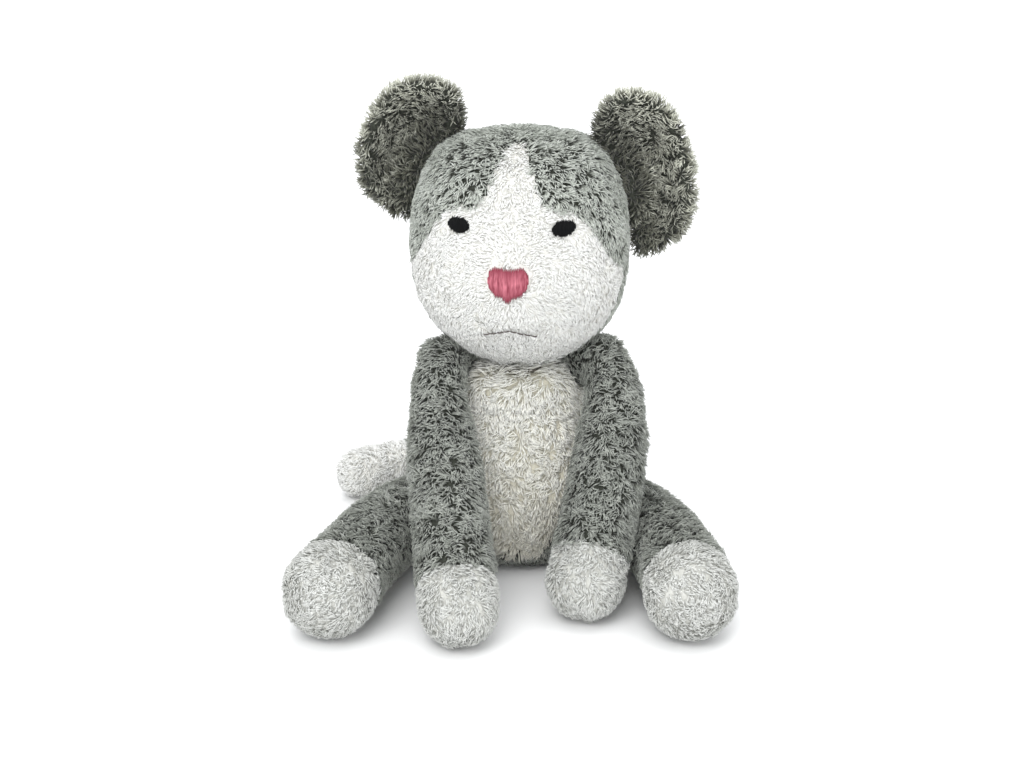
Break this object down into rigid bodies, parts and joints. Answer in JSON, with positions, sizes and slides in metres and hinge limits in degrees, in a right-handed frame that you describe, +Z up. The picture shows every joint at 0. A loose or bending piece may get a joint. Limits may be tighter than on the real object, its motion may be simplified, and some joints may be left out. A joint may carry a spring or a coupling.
{
  "type": "plush cat",
  "caption": "Seated plush cat with a round head, cupped ears, stuffed arms, legs and tail, grey pile with a white face and paws.",
  "frame": {"origin": "middle of the flat seat, where the cat sits on the floor", "axes": "+Z up, the cat faces -Y, +X towards its own left side"},
  "size_m": [0.1932, 0.2052, 0.2194],
  "materials": {
    "black_thread": "satin stitch",
    "cream_plush": "long pile, matte",
    "grey_plush": "curly pile, matte",
    "grey_thread": "thread, matte",
    "rose_thread": "satin stitch",
    "white_plush": "short dense pile, matte",
    "wool_filling": "loose fibre, matte"
  },
  "bodies": {
    "torso": {"seat_panel": "grey_plush", "belly_panel_left": "cream_plush", "belly_panel_right": "cream_plush", "back_panel_left": "grey_plush", "back_panel_right": "grey_plush", "torso_filling": "wool_filling"},
    "neck": {"neck_seam_stitches": "grey_thread"},
    "head": {"face_panel_left": "white_plush", "face_panel_right": "white_plush", "crown_panel_left": "grey_plush", "crown_panel_right": "grey_plush", "head_back_panel": "grey_plush", "head_filling": "wool_filling", "eye_left": "black_thread", "eye_right": "black_thread", "nose_embroidery": "rose_thread", "mouth_stitches": "grey_thread"},
    "ear_left": {"ear_left_front": "grey_plush", "ear_left_back": "grey_plush"},
    "ear_right": {"ear_right_front": "grey_plush", "ear_right_back": "grey_plush"},
    "arm_left_seam": {"arm_left_seam_stitches": "grey_thread"},
    "arm_left": {"arm_left_sleeve_outer": "grey_plush", "arm_left_sleeve_inner": "grey_plush", "paw_left_outer": "white_plush", "paw_left_inner": "white_plush", "arm_left_filling": "wool_filling"},
    "arm_right_seam": {"arm_right_seam_stitches": "grey_thread"},
    "arm_right": {"arm_right_sleeve_outer": "grey_plush", "arm_right_sleeve_inner": "grey_plush", "paw_right_outer": "white_plush", "paw_right_inner": "white_plush", "arm_right_filling": "wool_filling"},
    "leg_left_seam": {"leg_left_seam_stitches": "grey_thread"},
    "leg_left": {"leg_left_sleeve_outer": "grey_plush", "leg_left_sleeve_inner": "grey_plush", "foot_left_outer": "white_plush", "foot_left_inner": "white_plush", "leg_left_filling": "wool_filling"},
    "leg_right_seam": {"leg_right_seam_stitches": "grey_thread"},
    "leg_right": {"leg_right_sleeve_outer": "grey_plush", "leg_right_sleeve_inner": "grey_plush", "foot_right_outer": "white_plush", "foot_right_inner": "white_plush", "leg_right_filling": "wool_filling"},
    "tail_seam": {"tail_seam_stitches": "grey_thread"},
    "tail": {"tail_sleeve_outer": "grey_plush", "tail_sleeve_inner": "grey_plush", "tail_tip_outer": "white_plush", "tail_tip_inner": "white_plush", "tail_filling": "wool_filling"}
  },
  "joints": [
    {"name": "neck_turn", "type": "hinge", "parent": "torso", "child": "neck", "pos_m": [0, 0, 0.0935], "axis": [0, 0, 1], "range_deg": [-12, 12]},
    {"name": "head_nod", "type": "hinge", "parent": "neck", "child": "head", "pos_m": [0, 0, 0.0935], "axis": [-1, 0, 0], "range_deg": [-8, 8]},
    {"name": "ear_left_fold", "type": "hinge", "parent": "head", "child": "ear_left", "pos_m": [0.05052, -0.00123, 0.16885], "axis": [0.3981, -0.0425, -0.9163], "range_deg": [-5, 20]},
    {"name": "ear_right_fold", "type": "hinge", "parent": "head", "child": "ear_right", "pos_m": [-0.04531, 0.00885, 0.17814], "axis": [0.5475, -0.0569, 0.8349], "range_deg": [-5, 20]},
    {"name": "arm_left_swing", "type": "hinge", "parent": "torso", "child": "arm_left_seam", "pos_m": [0.0298, -0.004, 0.0885], "axis": [-1, 0, 0], "range_deg": [0, 25]},
    {"name": "arm_left_spread", "type": "hinge", "parent": "arm_left_seam", "child": "arm_left", "pos_m": [0.0298, -0.004, 0.0885], "axis": [0.8, 0.6, 0], "range_deg": [-11, 0]},
    {"name": "arm_right_swing", "type": "hinge", "parent": "torso", "child": "arm_right_seam", "pos_m": [-0.0298, -0.004, 0.0885], "axis": [-1, 0, 0], "range_deg": [0, 25]},
    {"name": "arm_right_spread", "type": "hinge", "parent": "arm_right_seam", "child": "arm_right", "pos_m": [-0.0298, -0.004, 0.0885], "axis": [0.8, -0.6, 0], "range_deg": [-11, 0]},
    {"name": "leg_left_spread", "type": "hinge", "parent": "torso", "child": "leg_left_seam", "pos_m": [0.045, -0.012, 0.0195], "axis": [0, 0, 1], "range_deg": [0, 35]},
    {"name": "leg_left_raise", "type": "hinge", "parent": "leg_left_seam", "child": "leg_left", "pos_m": [0.045, -0.012, 0.0195], "axis": [-0.9536, -0.3011, 0], "range_deg": [0, 6]},
    {"name": "leg_right_spread", "type": "hinge", "parent": "torso", "child": "leg_right_seam", "pos_m": [-0.045, -0.012, 0.0195], "axis": [0, 0, -1], "range_deg": [0, 35]},
    {"name": "leg_right_raise", "type": "hinge", "parent": "leg_right_seam", "child": "leg_right", "pos_m": [-0.045, -0.012, 0.0195], "axis": [-0.9536, 0.3011, 0], "range_deg": [0, 6]},
    {"name": "tail_wag", "type": "hinge", "parent": "torso", "child": "tail_seam", "pos_m": [0, 0.045, 0.016], "axis": [0, 0, -1], "range_deg": [0, 50]},
    {"name": "tail_lift", "type": "hinge", "parent": "tail_seam", "child": "tail", "pos_m": [0, 0.045, 0.016], "axis": [1, 0, 0], "range_deg": [0, 40]}
  ]
}
